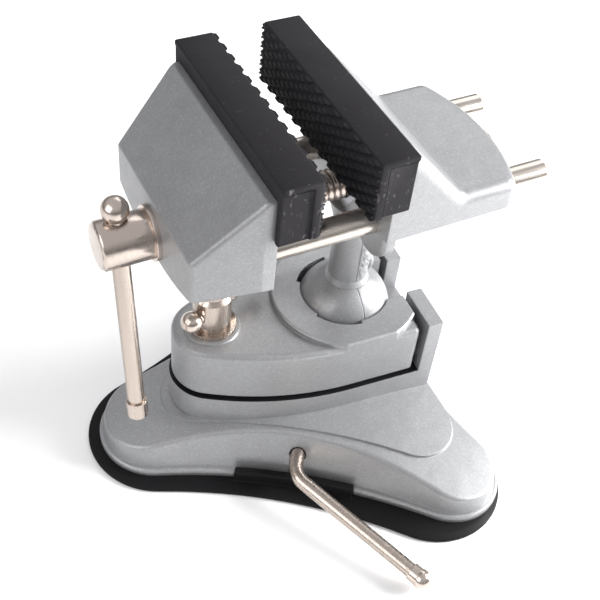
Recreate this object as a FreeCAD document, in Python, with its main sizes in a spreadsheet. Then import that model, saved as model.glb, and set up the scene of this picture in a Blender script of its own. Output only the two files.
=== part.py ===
import FreeCAD, Part
import math
import os
import Sketcher

from FreeCAD import Matrix, Placement, Rotation, Vector

# Bench vise on a suction base: two jaws on a ball joint, clamped by a tilting plate.
# The frame stands on the bench under the ball: +X runs from the moving jaw to the fixed jaw, +Z is up.

UP = Vector(0, 0, 1)
ACROSS = Vector(0, 1, 0)
ALONG = Vector(1, 0, 0)
CENTRE = Vector(0, 0, 0)

SIZES = [
    # The ball joint, and how far the base is turned against the jaws
    ("ball_height", 45.0),
    ("ball_radius", 15.8),
    ("ball_flat_radius", 7.4),
    ("base_yaw", -4.2),
    ("cup_clearance", 0.05),
    ("running_clearance", 0.05),
    ("press_clearance", 0.02),
    ("seat_gap", 0.3),
    ("tool_reach", 200.0),
    # Suction pad: a rubber sheet with three lobes, a lip and a release tab
    ("base_centre_x", -8.0),
    ("pad_front_x", -64.4),
    ("pad_front_radius", 25.0),
    ("pad_side_x", 16.5),
    ("pad_side_y", 50.3),
    ("pad_side_radius", 24.0),
    ("pad_waist_radius", 191.0),
    ("pad_lip_height", 1.2),
    ("pad_lip_slope", 3.0),
    ("pad_thickness", 2.2),
    ("tab_width", 40.0),
    ("tab_band_end", 60.0),
    ("tab_height", 4.6),
    ("tab_thickness", 2.6),
    # Base casting: flange, sloping wall, domed top and a raised pad on it
    ("flange_height", 2.5),
    ("flange_bead", 1.3),
    ("foot_front_x", -66.0),
    ("foot_front_radius", 18.2),
    ("foot_side_x", 21.8),
    ("foot_side_y", 52.6),
    ("foot_side_radius", 16.0),
    ("foot_waist_radius", 200.0),
    ("crest_height", 20.0),
    ("crest_front_x", -69.0),
    ("crest_front_radius", 14.0),
    ("crest_side_x", 21.5),
    ("crest_side_y", 55.5),
    ("crest_side_radius", 12.0),
    ("crest_waist_radius", 120.0),
    ("dome_height", 21.15),
    ("dome_radius", 300.0),
    ("deck_step", 0.8),
    ("deck_front_x", -49.8),
    ("deck_front_radius", 13.9),
    ("deck_side_x", 14.4),
    ("deck_side_y", 37.3),
    ("deck_side_radius", 13.0),
    ("deck_waist_radius", 300.0),
    ("casting_wall", 3.2),
    ("crest_edge_radius", 1.5),
    # Pedestal, its two uprights and the cup that carries the ball
    ("pedestal_top", 29.0),
    ("body_half_width", 24.2),
    ("body_nose_radius", 13.8),
    ("body_shoulder_x", -5.0),
    ("upright_inner_x", 20.0),
    ("upright_outer_x", 25.3),
    ("upright_top", 51.7),
    ("slot_half_width", 7.7),
    ("slot_floor", 37.4),
    ("cup_radius", 19.0),
    ("cup_top", 41.0),
    ("cup_relief", 1.0),
    # Clamp plate over the ball, with its fork end between ball and uprights
    ("plate_bottom", 30.8),
    ("plate_inset", 0.8),
    ("plate_top", 50.0),
    ("plate_roof", 4.0),
    ("plate_end_x", 18.0),
    ("plate_edge_radius", 1.9),
    ("land_top", 51.9),
    ("land_radius", 25.0),
    ("land_bevel", 0.5),
    ("fork_half_width", 8.9),
    ("notch_depth", 1.9),
    ("notch_start", 92.0),
    ("notch_angle", 58.0),
    ("tongue_width", 9.0),
    ("tongue_height", 3.4),
    ("tongue_reach", 2.4),
    ("tongue_level", 33.0),
    ("tongue_side", 11.0),
    # Clamp screw with its washer and sliding bar
    ("clamp_x", -46.8),
    ("clamp_boss_radius", 9.2),
    ("clamp_boss_height", 0.7),
    ("clamp_washer_radius", 7.9),
    ("clamp_washer_thickness", 1.5),
    ("clamp_head_radius", 6.2),
    ("clamp_head_height", 13.6),
    ("clamp_head_bevel", 1.3),
    ("clamp_shank_radius", 4.0),
    ("clamp_hole_clearance", 0.8),
    ("clamp_shank_end", 14.0),
    ("clamp_bar_level", 6.2),
    ("clamp_bar_radius", 2.25),
    ("clamp_bar_length", 30.0),
    ("clamp_bar_azimuth", 206.5),
    ("clamp_knob_radius", 3.5),
    # Suction lever, its cam and the yoke that lifts the pad
    ("lever_azimuth", 240.0),
    ("lever_height", 11.7),
    ("lever_radius", 2.45),
    ("lever_inner_reach", 19.6),
    ("lever_reach", 45.5),
    ("lever_bend", 60.0),
    ("lever_bend_radius", 7.0),
    ("lever_arm", 52.5),
    ("lever_droop", 9.0),
    ("lever_hole_clearance", 0.35),
    ("lever_cap_radius", 3.3),
    ("lever_cap_length", 7.4),
    ("lever_cap_depth", 4.0),
    ("bearing_start", 12.5),
    ("bearing_length", 4.6),
    ("bearing_half_width", 5.0),
    ("bearing_bottom", 7.2),
    ("wall_boss_radius", 5.0),
    ("wall_boss_start", 27.0),
    ("clip_radius", 4.2),
    ("clip_thickness", 0.9),
    ("clip_mouth", 2.6),
    ("clip_groove", 0.45),
    ("cam_radius", 5.0),
    ("cam_throw", 1.3),
    ("cam_length", 7.0),
    ("cam_pin_radius", 0.8),
    ("yoke_gap", 0.35),
    ("yoke_side", 2.0),
    ("yoke_top", 2.5),
    ("yoke_length", 8.0),
    ("yoke_foot", 14.0),
    ("pocket_radius", 11.5),
    ("pocket_top", 21.8),
    ("lift_plate_radius", 23.0),
    ("lift_plate_thickness", 1.6),
    ("rivet_radius", 1.3),
    ("rivet_head_radius", 2.1),
    ("rivet_head_height", 0.9),
    ("rivet_offset", 11.3),
    # Jaws: heights, the gap between them and the caps
    ("screw_height", 101.0),
    ("jaw_top", 137.2),
    ("jaw_width", 70.0),
    ("jaw_gap", 14.4),
    ("fixed_face_x", -19.6),
    ("cap_depth", 12.5),
    ("cap_height", 19.1),
    ("cap_wall", 2.9),
    ("cap_lip", 5.6),
    ("cap_fit", 0.1),
    ("cap_end_step", 0.6),
    ("cap_slab", 3.6),
    ("jaw_face_step", 1.3),
    ("moving_half_width", 32.2),
    ("moving_end_half_width", 27.0),
    ("moving_end_x", -67.3),
    ("moving_top_x", -48.9),
    ("moving_slope_foot", 112.3),
    ("moving_belly", 92.5),
    ("moving_belly_rise", 8.0),
    ("moving_edge_radius", 1.5),
    ("fixed_half_width", 27.4),
    ("fixed_slope_top_x", -2.6),
    ("fixed_slope_foot_x", 18.3),
    ("fixed_slope_blend", 2.5),
    ("fixed_deck", 109.0),
    ("fixed_rear_x", 43.0),
    ("fixed_rear_side_x", 36.7),
    ("fixed_skirt", 99.8),
    ("fixed_edge_radius", 4.0),
    ("fixed_front_wall", 4.0),
    ("lobe_radius", 8.4),
    ("lobe_drop", 4.3),
    ("lobe_edge_radius", 1.5),
    ("jaw_wall", 3.0),
    ("rod_boss_radius", 7.6),
    ("screw_boss_radius", 11.0),
    # Neck, and the stud of the ball in it
    ("neck_radius", 6.4),
    ("neck_flare", 2.2),
    ("neck_top_radius", 9.6),
    ("neck_top_start", 82.0),
    ("stud_radius", 3.5),
    ("stud_length", 9.5),
    # Guide rods and their pins
    ("rod_radius", 4.0),
    ("rod_offset", 17.9),
    ("rod_start_x", -64.0),
    ("rod_end_x", 54.0),
    ("rod_bevel", 0.9),
    ("rod_pin_radius", 1.5),
    ("rod_pin_x", -56.0),
    ("rod_pin_drop", 5.3),
    ("rod_pin_length", 8.8),
    # Lead screw, its washer, ring and nut
    ("screw_radius", 5.0),
    ("screw_head_radius", 7.3),
    ("screw_head_length", 15.0),
    ("screw_head_bevel", 1.0),
    ("screw_hole_x", 6.5),
    ("screw_end_x", 45.0),
    ("thrust_washer_radius", 8.25),
    ("thrust_washer_thickness", 1.4),
    ("ring_groove", 0.8),
    ("ring_thickness", 1.0),
    ("ring_radius", 7.0),
    ("nut_flats", 14.0),
    ("nut_length", 10.0),
    # Main bar through the screw head
    ("bar_radius", 2.7),
    ("bar_tilt", 8.5),
    ("bar_length", 76.5),
    ("bar_knob_radius", 4.0),
    ("bar_collar_radius", 3.3),
    ("bar_collar_length", 7.0),
    ("bar_collar_depth", 5.6),
    ("bar_hole_clearance", 0.1),
]

doc = FreeCAD.newDocument("suction_base_vise")
sheet = doc.addObject("Spreadsheet::Sheet", "Sizes")
for row, (alias, length) in enumerate(SIZES, start=2):
    sheet.set(f"A{row}", alias.replace("_", " "))
    sheet.set(f"B{row}", str(length))
    sheet.setAlias(f"B{row}", alias)
doc.recompute()

subparts = []


def size(alias):
    return float(sheet.get(alias))


def named(obj, label):
    obj.Label = label
    subparts.append(obj)
    return obj


def turned_body(label, corners):
    """A body of revolution about its own Z axis; corners are (radius, height) expressions."""
    body = doc.addObject("PartDesign::Body", label + "_body")
    sketch = body.newObject("Sketcher::SketchObject", label + "_profile")
    planes = [item for item in body.Origin.OriginFeatures if item.Role == "XZ_Plane"]
    sketch.AttachmentSupport = [(planes[0], "")]
    sketch.MapMode = "FlatFace"
    spots = [Vector(*(float(sketch.evalExpression(text)) for text in corner), 0) for corner in corners]
    count = len(spots)
    for index in range(count):
        following = (index + 1) % count
        sketch.addGeometry(Part.LineSegment(spots[index], spots[following]), False)
    for index in range(count):
        following = (index + 1) % count
        sketch.addConstraint(Sketcher.Constraint("Coincident", index, 2, following, 1))
    for index, corner in enumerate(corners):
        for text, kind, axis, place in zip(corner, ("DistanceX", "DistanceY"), (-2, -1), spots[index]):
            if text == "0":
                sketch.addConstraint(Sketcher.Constraint("PointOnObject", index, 1, axis))
            else:
                number = sketch.addConstraint(Sketcher.Constraint(kind, -1, 1, index, 1, place))
                sketch.setExpression(f"Constraints[{number}]", text)
    feature = body.newObject("PartDesign::Revolution", label + "_turning")
    feature.Profile = sketch
    feature.ReferenceAxis = (sketch, ["V_Axis"])
    feature.Angle = 360
    return body


def cross_bore(label, base, radius, height, tilt=0.0, reach=40.0):
    """The base with a round hole across its axis at a height; the hole runs along the base's own X."""
    drill = doc.addObject("Part::Cylinder", label + "_drill")
    drill.setExpression("Radius", radius)
    drill.Height = 2 * reach
    direction = Rotation(UP, tilt).multVec(ALONG)
    drill.Placement = Placement(direction * -reach, Rotation(UP, direction))
    drill.setExpression("Placement.Base.z", height)
    cut = doc.addObject("Part::Cut", label + "_drilled")
    cut.Base = base
    cut.Tool = drill
    return cut


def solid_of(shape):
    """One clean solid out of a boolean result."""
    shape = shape.removeSplitter()
    if len(shape.Solids) != 1:
        raise ValueError(f"{len(shape.Solids)} solids where one is meant")
    return shape.Solids[0]


def feature(label, shape, placement=Placement()):
    obj = doc.addObject("Part::Feature", label)
    obj.Shape = shape
    obj.Placement = placement
    return named(obj, label)


def base_frame():
    """Placement of everything that is turned with the base."""
    return Placement(CENTRE, Rotation(UP, size("base_yaw")))


def lever_frame():
    """Placement on the lever shaft above the base centre: X out along the shaft, Z up."""
    spot = Vector(size("base_centre_x"), 0, size("lever_height"))
    return Placement(spot, Rotation(UP, size("lever_azimuth")))


def clamp_frame(height):
    """Placement on the clamp screw axis at a height."""
    return Placement(Vector(size("clamp_x"), 0, height), Rotation(UP, size("clamp_bar_azimuth")))


def box(x_low, x_high, y_low, y_high, z_low, z_high):
    return Part.makeBox(x_high - x_low, y_high - y_low, z_high - z_low, Vector(x_low, y_low, z_low))


def rod_along(direction, radius, start, length):
    return Part.makeCylinder(radius, length, start, direction)


def polygon_prism(points, direction):
    wire = Part.makePolygon(points + [points[0]])
    return Part.Face(wire).extrude(direction)


def arc(centre, radius, start, finish):
    """An arc between two directions, by its shorter way round."""
    middle = (start + finish).normalize()
    spots = [centre + way * radius for way in (start, middle, finish)]
    return Part.Arc(*spots).toShape()


def unit(vector):
    return Vector(vector).normalize()


def lobed_wire(kind, height, grow=0.0):
    """Outline of three round lobes joined by three hollow arcs, mirrored about the XZ plane."""
    front = Vector(size(kind + "_front_x"), 0, height)
    side = Vector(size(kind + "_side_x"), -size(kind + "_side_y"), height)
    front_radius = size(kind + "_front_radius") + grow
    side_radius = size(kind + "_side_radius") + grow
    waist = size(kind + "_waist_radius") - grow
    run = side - front
    reach_front = waist + front_radius
    reach_side = waist + side_radius
    along = (reach_front ** 2 - reach_side ** 2 + run.Length ** 2) / (2 * run.Length)
    away = math.sqrt(reach_front ** 2 - along ** 2)
    outward = unit(run.cross(UP))
    near_waist = front + unit(run) * along + outward * away
    rear_x = side.x + math.sqrt(reach_side ** 2 - side.y ** 2)
    rear_waist = Vector(rear_x, 0, height)
    mirror = Matrix()
    mirror.scale(1, -1, 1)
    far_side = mirror.multVec(side)
    far_waist = mirror.multVec(near_waist)
    to_near = unit(near_waist - front)
    to_far = unit(far_waist - front)
    edges = [
        Part.Arc(front + to_far * front_radius, front - ALONG * front_radius, front + to_near * front_radius).toShape(),
        arc(near_waist, waist, -to_near, unit(side - near_waist)),
        arc(side, side_radius, unit(near_waist - side), unit(rear_waist - side)),
        arc(rear_waist, waist, unit(side - rear_waist), unit(far_side - rear_waist)),
        arc(far_side, side_radius, unit(rear_waist - far_side), unit(far_waist - far_side)),
        arc(far_waist, waist, unit(far_side - far_waist), -to_far),
    ]
    return Part.Wire(edges)


def lobed_prism(kind, low, high, grow=0.0):
    return Part.Face(lobed_wire(kind, low, grow)).extrude(UP * (high - low))


def lobed_wall(low, grow=0.0):
    """Sloping wall from the foot outline up to the crest outline."""
    return Part.makeLoft([lobed_wire("foot", low, grow), lobed_wire("crest", size("crest_height"), grow)], True, True)


def dome(rise=0.0):
    radius = size("dome_radius")
    apex = size("dome_height") + rise
    return Part.makeSphere(radius, Vector(size("base_centre_x"), 0, apex - radius))


def body_prism(low, high, end_x, grow=0.0):
    """Rounded nose at the clamp screw, long side arcs and a square end: pedestal and clamp plate."""
    nose = Vector(size("clamp_x"), 0, low)
    shoulder_x = size("body_shoulder_x")
    run = shoulder_x - nose.x
    half = size("body_half_width")
    nose_radius = size("body_nose_radius")
    side_radius = (run ** 2 + half ** 2 - nose_radius ** 2) / (2 * (half - nose_radius))
    centre = Vector(shoulder_x, side_radius - half, low)
    outward = unit(nose - centre)
    half += grow
    nose_radius += grow
    side_radius += grow
    mirror = Matrix()
    mirror.scale(1, -1, 1)
    touch = nose + outward * nose_radius
    far_touch = mirror.multVec(touch)
    shoulder = Vector(shoulder_x, -half, low)
    middle = centre + unit(outward - ACROSS) * side_radius
    corner = Vector(end_x, -half, low)
    edges = [
        Part.Arc(far_touch, nose - ALONG * nose_radius, touch).toShape(),
        Part.Arc(touch, middle, shoulder).toShape(),
        Part.makeLine(shoulder, corner),
        Part.makeLine(corner, mirror.multVec(corner)),
        Part.makeLine(mirror.multVec(corner), mirror.multVec(shoulder)),
        Part.Arc(mirror.multVec(shoulder), mirror.multVec(middle), far_touch).toShape(),
    ]
    return Part.Face(Part.Wire(edges)).extrude(UP * (high - low))


def ball_sphere(grow=0.0):
    return Part.makeSphere(size("ball_radius") + grow, Vector(0, 0, size("ball_height")))


def inset_prism(wire, inset, direction):
    """A flat outline drawn in by an inset and pulled along a direction."""
    face = Part.Face(wire)
    if inset:
        face = face.makeOffset2D(-inset, 2)
    return face.extrude(direction)


def edges_at(shape, height, tolerance=0.01):
    return [edge for edge in shape.Edges if abs(edge.BoundBox.ZMin - height) < tolerance
            and abs(edge.BoundBox.ZMax - height) < tolerance]


def tongue_boxes(clearance):
    """The two tongues of the clamp plate, or the pockets for them with a clearance."""
    low_x = size("plate_end_x") - size("plate_edge_radius")
    high_x = size("upright_inner_x") + size("tongue_reach") + clearance
    low = size("tongue_level") - clearance
    high = size("tongue_level") + size("tongue_height") + 2 * clearance
    inner = size("tongue_side") - clearance
    outer = size("tongue_side") + size("tongue_width") + clearance
    near = box(low_x, high_x, -outer, -inner, low, high)
    far = box(low_x, high_x, inner, outer, low, high)
    return [near, far]


def base_casting():
    pad_top = size("pad_thickness")
    wall = size("casting_wall")
    reach = size("tool_reach")
    centre_x = size("base_centre_x")
    pedestal_top = size("pedestal_top")
    frame = lever_frame().toMatrix()
    shell = lobed_wall(pad_top).common(dome())
    crest = [edge for edge in shell.Edges if edge.BoundBox.ZMin > pad_top + wall and edge.Length > 2 * wall]
    crest = [edge for edge in crest if edge.BoundBox.ZLength < edge.Length / 2]
    shell = shell.makeFillet(size("crest_edge_radius"), crest)
    deck = lobed_prism("deck", pad_top + wall, pedestal_top).common(dome(size("deck_step")))
    flange = lobed_prism("foot", pad_top, pad_top + size("flange_height"), size("flange_bead"))
    flange = flange.makeFillet(size("flange_height") / 2.2, edges_at(flange, pad_top + size("flange_height")))
    half_notch = size("tab_width") / 2 + size("seat_gap")
    notch = box(size("wall_boss_start"), reach, -half_notch, half_notch, -reach, 0)
    body = shell.fuse([flange.cut(notch.transformGeometry(frame)), deck])

    # Pedestal, uprights and the cup under the ball
    pedestal = body_prism(size("dome_height") - wall, pedestal_top, size("upright_outer_x"))
    upright = body_prism(pedestal_top - wall, size("upright_top"), size("upright_outer_x"))
    upright = upright.common(box(size("upright_inner_x"), reach, -reach, reach, 0, reach))
    cup = Part.makeCylinder(size("cup_radius"), size("cup_top") - pedestal_top + wall, UP * (pedestal_top - wall))
    body = body.fuse([pedestal, upright, cup])

    # Hollow under the dome, with a deeper pocket over the yoke
    inside = lobed_wall(pad_top, -wall).common(dome(-wall))
    slot_half = size("slot_half_width")
    slot = box(0, reach, -slot_half, slot_half, size("slot_floor"), reach)
    pocket = Part.makeCylinder(size("pocket_radius"), size("pocket_top"), ALONG * centre_x)
    bore_radius = size("clamp_shank_radius") + size("running_clearance")
    clamp_bore = Part.makeCylinder(bore_radius, reach, ALONG * size("clamp_x"))
    pockets = tongue_boxes(size("seat_gap"))
    body = body.cut([inside, slot, pocket, clamp_bore, ball_sphere(size("cup_clearance"))] + pockets)

    # Bearing lug inside and boss on the wall, both bored for the lever shaft
    lug_start = -size("bearing_start") - size("bearing_length")
    half = size("bearing_half_width")
    drop = size("bearing_bottom") - size("lever_height")
    roof = size("dome_height") - size("lever_height")
    lug = box(lug_start, -size("bearing_start"), -half, half, drop, roof).transformGeometry(frame)
    boss = rod_along(ALONG, size("wall_boss_radius"), ALONG * size("wall_boss_start"), reach)
    boss = boss.transformGeometry(frame).common(lobed_wall(pad_top)).common(dome())
    body = body.fuse([lug.common(dome()), boss])
    hole = rod_along(ALONG, size("lever_radius") + size("lever_hole_clearance"), CENTRE, reach)
    shaft = rod_along(-ALONG, size("lever_radius") + size("running_clearance"), CENTRE, reach)
    body = body.cut([hole.transformGeometry(frame), shaft.transformGeometry(frame)])
    return feature("base_casting", solid_of(body), base_frame())


def suction_pad():
    lip = size("pad_lip_height")
    top = size("pad_thickness")
    edge = lobed_prism("pad", 0, lip)
    slope = Part.makeLoft([lobed_wire("pad", lip), lobed_wire("pad", top, -size("pad_lip_slope"))], True, True)
    tab_top = top + size("tab_height")
    tab = lobed_prism("foot", lip, tab_top, size("seat_gap") + size("tab_thickness"))
    tab = tab.cut(lobed_prism("foot", lip, tab_top, size("seat_gap")))
    half = size("tab_width") / 2
    beside_lever = box(size("wall_boss_start"), size("tab_band_end"), -half, half, -half, half)
    tab = tab.common(beside_lever.transformGeometry(lever_frame().toMatrix()))
    body = edge.fuse([slope, tab])
    return feature("suction_pad", solid_of(body), base_frame())


def lever_parts():
    radius = size("lever_radius")
    to_row = base_frame().multiply(lever_frame())

    # Shaft, bend and arm in one bent rod
    bend = math.radians(size("lever_bend"))
    droop = math.radians(size("lever_droop"))
    sideways = Vector(0, math.cos(droop), -math.sin(droop))
    arm = ALONG * math.cos(bend) + sideways * math.sin(bend)
    corner = ALONG * size("lever_reach")
    setback = size("lever_bend_radius") * math.tan(bend / 2)
    start = ALONG * -size("lever_inner_reach")
    before = corner - ALONG * setback
    after = corner + arm * setback
    inward = unit(arm - ALONG)
    gap = size("lever_bend_radius") / math.cos(bend / 2) - size("lever_bend_radius")
    tip = corner + arm * size("lever_arm")
    path = Part.Wire([
        Part.makeLine(start, before),
        Part.Arc(before, corner + inward * gap, after).toShape(),
        Part.makeLine(after, tip),
    ])
    section = Part.Wire(Part.makeCircle(radius, start, ALONG))
    rod = path.makePipeShell([section], True, False)
    clip_start = -size("bearing_start") - size("bearing_length") - size("seat_gap") - size("clip_thickness")
    groove_radius = radius - size("clip_groove")
    ring = rod_along(ALONG, radius + 1, ALONG * clip_start, size("clip_thickness"))
    core = rod_along(ALONG, groove_radius, ALONG * clip_start, size("clip_thickness"))
    pin_radius = size("cam_pin_radius")
    low = -size("cam_radius") - size("cam_throw")
    pin_length = 2 * size("cam_radius") - 1
    pin = Part.makeCylinder(pin_radius, pin_length, Vector(0, 0, low + 0.5))
    pin_hole = Part.makeCylinder(pin_radius, 2 * pin_length, Vector(0, 0, low - 1))
    feature("suction_lever", solid_of(rod.cut(ring.cut(core)).cut(pin_hole)), to_row)

    # Turned cap pressed on the end of the arm
    knob = size("lever_cap_radius")
    depth = size("lever_cap_depth")
    length = size("lever_cap_length")
    waist = knob - 0.35
    cap = Part.makeCylinder(waist, length - knob).fuse(Part.makeSphere(knob, Vector(0, 0, length - knob)))
    reach = size("tool_reach")
    cap = cap.cut(Part.makeCylinder(radius + size("press_clearance"), depth))
    cap = cap.cut(box(-reach, reach, -reach, reach, -reach, 0))
    spot = tip - arm * depth
    cap_place = to_row.multiply(Placement(spot, Rotation(UP, arm)))
    feature("lever_end_cap", solid_of(cap), cap_place)

    # Cam pinned on the shaft, thrown downwards while the pad is released
    half = size("cam_length") / 2
    cam = rod_along(ALONG, size("cam_radius"), Vector(-half, 0, -size("cam_throw")), 2 * half)
    cam = cam.cut(rod_along(ALONG, radius, Vector(-half, 0, 0), 2 * half)).cut(pin_hole)
    feature("lift_cam", solid_of(cam), to_row)
    feature("cam_pin", pin, to_row)

    clip = rod_along(ALONG, size("clip_radius"), ALONG * clip_start, size("clip_thickness"))
    half_mouth = size("clip_mouth") / 2
    mouth = box(clip_start, clip_start + size("clip_thickness"), -half_mouth, half_mouth, 0, reach)
    feature("shaft_clip", solid_of(clip.cut(core).cut(mouth)), to_row)


def lift_parts():
    to_row = base_frame().multiply(Placement(Vector(size("base_centre_x"), 0, 0), Rotation(UP, size("lever_azimuth"))))
    floor = size("pad_thickness")
    plate_top = floor + size("lift_plate_thickness")
    cam_low = size("lever_height") - size("cam_throw") - size("cam_radius")
    slot_low = cam_low - size("yoke_gap")
    slot_high = cam_low + 2 * size("cam_radius") + size("yoke_gap")
    slot_half = size("cam_radius") + size("cam_throw") + size("yoke_gap")
    half = slot_half + size("yoke_side")
    half_length = size("yoke_length") / 2
    foot = size("yoke_foot")
    offset = size("rivet_offset")

    plate = Part.makeCylinder(size("lift_plate_radius"), size("lift_plate_thickness"), Vector(0, 0, floor))
    yoke = box(-half_length, half_length, -half, half, plate_top, slot_high + size("yoke_top"))
    yoke = yoke.fuse(box(-half_length, half_length, -foot, foot, plate_top, slot_low))
    yoke = yoke.cut(box(-half_length, half_length, -slot_half, slot_half, slot_low, slot_high))
    rivets = []
    for side in (-1, 1):
        spot = Vector(0, side * offset, floor)
        shank = Part.makeCylinder(size("rivet_radius"), slot_low - floor, spot)
        plate = plate.cut(shank)
        yoke = yoke.cut(shank)
        head = Part.makeCylinder(size("rivet_head_radius"), size("rivet_head_height"), spot + UP * (slot_low - floor))
        head = head.makeFillet(size("rivet_head_height") / 2, edges_at(head, slot_low + size("rivet_head_height")))
        rivets.append(solid_of(shank.fuse(head)))
    feature("lift_plate", solid_of(plate), to_row)
    feature("lift_yoke", solid_of(yoke), to_row)
    feature("yoke_rivets", Part.makeCompound(rivets), to_row)


def clamp_plate():
    wall = size("casting_wall")
    bottom = size("plate_bottom")
    top = size("plate_top")
    end_x = size("plate_end_x")
    land_top = size("land_top")
    inset = size("plate_inset")
    block = body_prism(bottom, top, end_x, -inset)
    land = body_prism(bottom, land_top, end_x, -inset).common(Part.makeCylinder(size("land_radius"), land_top))
    corners = [edge for edge in block.Edges if abs(edge.BoundBox.XMin - end_x) < 0.01
               and abs(edge.BoundBox.XMax - end_x) < 0.01 and edge.BoundBox.ZLength > 1]
    block = block.makeFillet(size("plate_edge_radius"), corners)
    block = block.makeFillet(size("plate_edge_radius"), edges_at(block, top))
    land = land.makeChamfer(size("land_bevel"), edges_at(land, land_top))
    boss_height = top + size("clamp_boss_height")
    clamp_axis = Vector(size("clamp_x"), 0, bottom)
    boss = Part.makeCylinder(size("clamp_boss_radius"), boss_height - bottom, clamp_axis)
    boss = boss.makeFillet(size("clamp_boss_height") / 2, edges_at(boss, boss_height))
    hollow = body_prism(bottom, top - size("plate_roof"), end_x - wall, -inset - wall)
    relief_height = size("cup_top") + size("cup_relief")
    relief = Part.makeCylinder(size("cup_radius") + size("cup_relief"), relief_height)
    body = block.fuse(land).cut([hollow, relief])
    seat = Part.makeCylinder(size("cup_radius"), top - bottom, Vector(0, 0, size("ball_height")))
    body = body.fuse([seat.common(block), boss])
    fork = size("fork_half_width")
    reach = size("tool_reach")
    body = body.cut(box(0, reach, -fork, fork, 0, reach))
    body = body.fuse([piece for piece in tongue_boxes(0)])
    rim = math.sqrt(size("ball_radius") ** 2 - (land_top - size("ball_height")) ** 2)
    mouth = Part.makeCone(rim, rim + 2 * size("notch_depth") / 3, 2.2, Vector(0, 0, land_top - 1.2))
    notches = []
    for start in (size("notch_start"), -size("notch_start") - size("notch_angle")):
        wedge_foot = Vector(0, 0, size("cup_top"))
        wedge = Part.makeCylinder(rim + size("notch_depth"), reach, wedge_foot, UP, size("notch_angle"))
        wedge.rotate(CENTRE, UP, start)
        notches.append(wedge)
    bore = Part.makeCylinder(size("clamp_shank_radius") + size("clamp_hole_clearance"), reach, clamp_axis)
    body = body.cut([ball_sphere(size("cup_clearance")), mouth, bore] + notches)
    return feature("clamp_plate", solid_of(body), base_frame())


def clamp_fasteners():
    seat = size("plate_top") + size("clamp_boss_height")
    washer = turned_body("clamp_washer", [
        ("Sizes.clamp_shank_radius + Sizes.running_clearance", "0"),
        ("Sizes.clamp_washer_radius", "0"),
        ("Sizes.clamp_washer_radius", "Sizes.clamp_washer_thickness"),
        ("Sizes.clamp_shank_radius + Sizes.running_clearance", "Sizes.clamp_washer_thickness"),
    ])
    place = base_frame().multiply(clamp_frame(seat))
    washer.Placement = place
    named(washer, "clamp_washer")

    shank = "(Sizes.plate_top + Sizes.clamp_boss_height + Sizes.clamp_washer_thickness - Sizes.clamp_shank_end)"
    head_end = shank + " + Sizes.clamp_head_height"
    screw = turned_body("clamp_screw", [
        ("0", "0"),
        ("Sizes.clamp_shank_radius", "0"),
        ("Sizes.clamp_shank_radius", shank),
        ("Sizes.clamp_head_radius", shank),
        ("Sizes.clamp_head_radius", head_end + " - Sizes.clamp_head_bevel"),
        ("Sizes.clamp_head_radius - Sizes.clamp_head_bevel", head_end),
        ("0", head_end),
    ])
    bore = "Sizes.clamp_bar_radius + Sizes.bar_hole_clearance"
    drilled = cross_bore("clamp_screw", screw, bore, shank + " + Sizes.clamp_bar_level")
    drilled.Placement = base_frame().multiply(clamp_frame(size("clamp_shank_end")))
    named(drilled, "clamp_screw")

    # Sliding bar with a knob pressed on each end
    level = seat + size("clamp_washer_thickness") + size("clamp_bar_level")
    to_row = base_frame().multiply(clamp_frame(level))
    knob = size("clamp_knob_radius")
    radius = size("clamp_bar_radius")
    hole = size("clamp_bar_radius") + size("bar_hole_clearance")
    stand_off = size("clamp_head_radius") + math.sqrt(knob ** 2 - hole ** 2) + size("seat_gap")
    length = size("clamp_bar_length")
    start = ALONG * (stand_off - length)
    feature("clamp_bar", rod_along(ALONG, radius, start, length), to_row)
    socket = rod_along(ALONG, radius + size("press_clearance"), start, length)
    knobs = [Part.makeSphere(knob, spot, ALONG).cut(socket) for spot in (start, start + ALONG * length)]
    feature("clamp_bar_knobs", Part.makeCompound(knobs), to_row)


def swivel_ball():
    flat = math.sqrt(size("ball_radius") ** 2 - size("ball_flat_radius") ** 2)
    height = size("ball_height") + flat
    reach = size("tool_reach")
    body = ball_sphere().cut(box(-reach, reach, -reach, reach, height, reach))
    stud = Part.makeCylinder(size("stud_radius"), size("stud_length") + 5, Vector(0, 0, height - 5))
    return feature("swivel_ball", solid_of(body.fuse(stud)))


def cap_box(outer_x, inner_x, clearance=0.0):
    """Box over a jaw cap's length, from the outer side to the gripping face."""
    half = size("jaw_width") / 2 + clearance
    low = size("jaw_top") - size("cap_height")
    return box(min(outer_x, inner_x), max(outer_x, inner_x), -half, half, low, size("jaw_top"))


def jaw_tongue(outer_x, toward, grow=0.0):
    """The casting's plate inside a cap, with the step that joins it to the jaw."""
    wall = size("cap_wall")
    depth = size("cap_depth")
    half = size("moving_half_width") + grow
    low = size("jaw_top") - size("cap_height")
    top = size("jaw_top") - wall + grow
    lip = size("jaw_top") - size("cap_lip") + grow
    near = outer_x + toward * (wall - grow)
    far = outer_x + toward * (depth - wall + grow)
    plate = box(min(near, far), max(near, far), -half, half, low, top)
    back = outer_x
    step = box(min(back, far), max(back, far), -half, half, low, lip)
    return plate.fuse(step)


def jaw_cap(label, outer_x, toward):
    """Rubber cap over a jaw: open below and behind, ends stepped back behind the gripping slab."""
    face_x = outer_x + toward * size("cap_depth")
    body = cap_box(outer_x, face_x).cut(jaw_tongue(outer_x, toward, size("cap_fit")))
    slab = face_x - toward * size("cap_slab")
    step = size("cap_end_step")
    low = size("jaw_top") - size("cap_height")
    half = size("jaw_width") / 2
    for side in (-1, 1):
        edge = sorted((side * half, side * (half - step)))
        body = body.cut(box(min(outer_x, slab), max(outer_x, slab), edge[0], edge[1], low, size("jaw_top") - step * 3))
    return feature(label, solid_of(body))


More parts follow.
